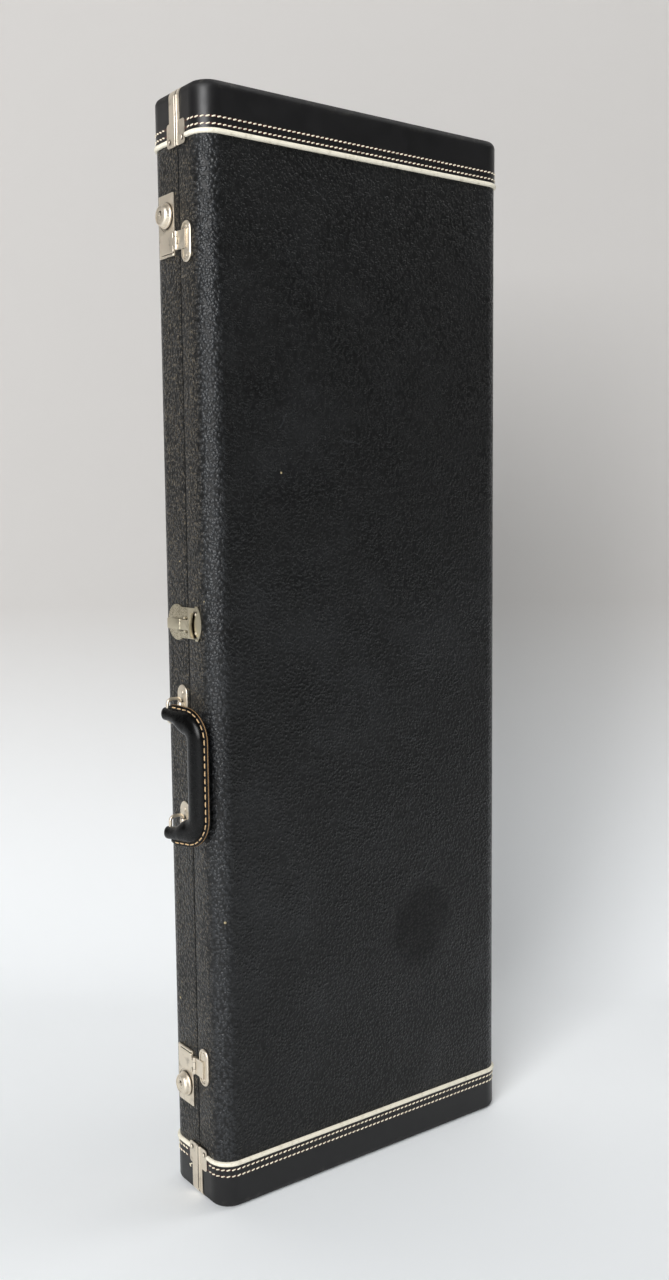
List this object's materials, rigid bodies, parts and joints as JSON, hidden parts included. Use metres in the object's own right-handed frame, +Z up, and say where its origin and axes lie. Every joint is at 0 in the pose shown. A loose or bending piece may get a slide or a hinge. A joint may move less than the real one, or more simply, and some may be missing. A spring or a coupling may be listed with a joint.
{
  "type": "hard case",
  "caption": "Rectangular hard case for an electric guitar, black grained covering, leather ends with piping, nickel locks, draw latch and padded handle",
  "frame": {"origin": "On the floor under the middle of the case, which stands on its lower end", "axes": "+Z runs up the length of the case. -X is the narrow side with the locks and the handle, +X is the hinge side. -Y is the wide face of the lid and +Y the wide face of the base."},
  "size_m": [0.3795, 0.0967, 1.016],
  "materials": {
    "vinyl": "black pebble-grained vinyl cloth",
    "leather": "smooth black leather, scuffed at the edges",
    "handle_leather": "smooth black leather with tan stitching",
    "piping": "cream welt piping",
    "nickel": "aged warm nickel plate",
    "plywood": "raw birch plywood",
    "plush": "short orange plush"
  },
  "bodies": {
    "base": {"base_panel": "plywood", "base_handle_wall": "plywood", "base_hinge_wall": "plywood", "base_edge_battens": "plywood", "base_end_boards": "plywood", "base_covering": "vinyl", "base_lower_leather": "leather", "base_upper_leather": "leather", "base_lower_piping": "piping", "base_upper_piping": "piping", "base_lower_strip": "nickel", "base_upper_strip": "nickel", "base_lining": "plush", "body_end_pad": "plush", "waist_pads": "plush", "shoulder_pads": "plush", "neck_cradle": "plush", "accessory_box": "plush", "upper_lock_plate": "nickel", "lower_lock_plate": "nickel", "centre_latch_plate": "nickel", "lever_pin": "nickel", "upper_handle_lug": "nickel", "lower_handle_lug": "nickel", "hinge_base_leaves": "nickel", "hinge_pins": "nickel"},
    "lid": {"lid_panel": "plywood", "lid_handle_wall": "plywood", "lid_hinge_wall": "plywood", "lid_edge_battens": "plywood", "lid_end_boards": "plywood", "lid_covering": "vinyl", "lid_lower_leather": "leather", "lid_upper_leather": "leather", "lid_lower_piping": "piping", "lid_upper_piping": "piping", "lid_lower_strip": "nickel", "lid_upper_strip": "nickel", "lid_lining": "plush", "upper_hasp_plate": "nickel", "lower_hasp_plate": "nickel", "hasp_pins": "nickel", "centre_strike": "nickel", "hinge_lid_leaves": "nickel"},
    "upper_hasp": {"upper_hasp": "nickel"},
    "lower_hasp": {"lower_hasp": "nickel"},
    "upper_knob": {"upper_lock_knob": "nickel"},
    "lower_knob": {"lower_lock_knob": "nickel"},
    "upper_key": {"upper_key_plug": "nickel"},
    "lower_key": {"lower_key_plug": "nickel"},
    "lever": {"centre_lever": "nickel", "claw_pin": "nickel"},
    "claw": {"centre_claw": "nickel"},
    "bails": {"upper_bail": "nickel", "lower_bail": "nickel"},
    "handle": {"handle_grip": "handle_leather"}
  },
  "joints": [
    {"name": "lid_hinge", "type": "hinge", "parent": "base", "child": "lid", "pos_m": [0.17935, -0.006, 0.508], "axis": [0, 0, 1], "range_deg": [0, 100]},
    {"name": "upper_hasp_hinge", "type": "hinge", "parent": "lid", "child": "upper_hasp", "pos_m": [-0.17865, -0.0035, 0.8857], "axis": [0, 0, 1], "range_deg": [0, 120]},
    {"name": "lower_hasp_hinge", "type": "hinge", "parent": "lid", "child": "lower_hasp", "pos_m": [-0.17865, -0.0035, 0.1286], "axis": [0, 0, 1], "range_deg": [0, 120]},
    {"name": "upper_knob_slide", "type": "slide", "parent": "base", "child": "upper_knob", "axis": [0, 0, 1], "range_m": [0, 0.005], "stiffness_N_per_m": 800},
    {"name": "lower_knob_slide", "type": "slide", "parent": "base", "child": "lower_knob", "axis": [0, 0, -1], "range_m": [0, 0.005], "stiffness_N_per_m": 800},
    {"name": "upper_key_turn", "type": "hinge", "parent": "upper_knob", "child": "upper_key", "pos_m": [-0.18125, 0.0155, 0.9103], "axis": [-1, 0, 0], "range_deg": [0, 90]},
    {"name": "lower_key_turn", "type": "hinge", "parent": "lower_knob", "child": "lower_key", "pos_m": [-0.18125, 0.0155, 0.104], "axis": [-1, 0, 0], "range_deg": [0, 90]},
    {"name": "lever_hinge", "type": "hinge", "parent": "base", "child": "lever", "pos_m": [-0.17915, -0.0041, 0.546], "axis": [0, 0, 1], "range_deg": [0, 100]},
    {"name": "claw_hinge", "type": "hinge", "parent": "lever", "child": "claw", "pos_m": [-0.18125, 0.0004, 0.546], "axis": [0, 0, 1], "range_deg": [-100, 0]},
    {"name": "bail_hinge", "type": "hinge", "parent": "base", "child": "bails", "pos_m": [-0.17905, 0.0065, 0.4121], "axis": [0, 0, -1], "range_deg": [0, 40]},
    {"name": "handle_hinge", "type": "hinge", "parent": "bails", "child": "handle", "pos_m": [-0.19275, 0.0065, 0.4101], "axis": [0, 0, -1], "range_deg": [0, 150]}
  ],
  "couplings": [
    {"joint": "claw_hinge", "follows": "lever_hinge", "ratio": -1}
  ]
}
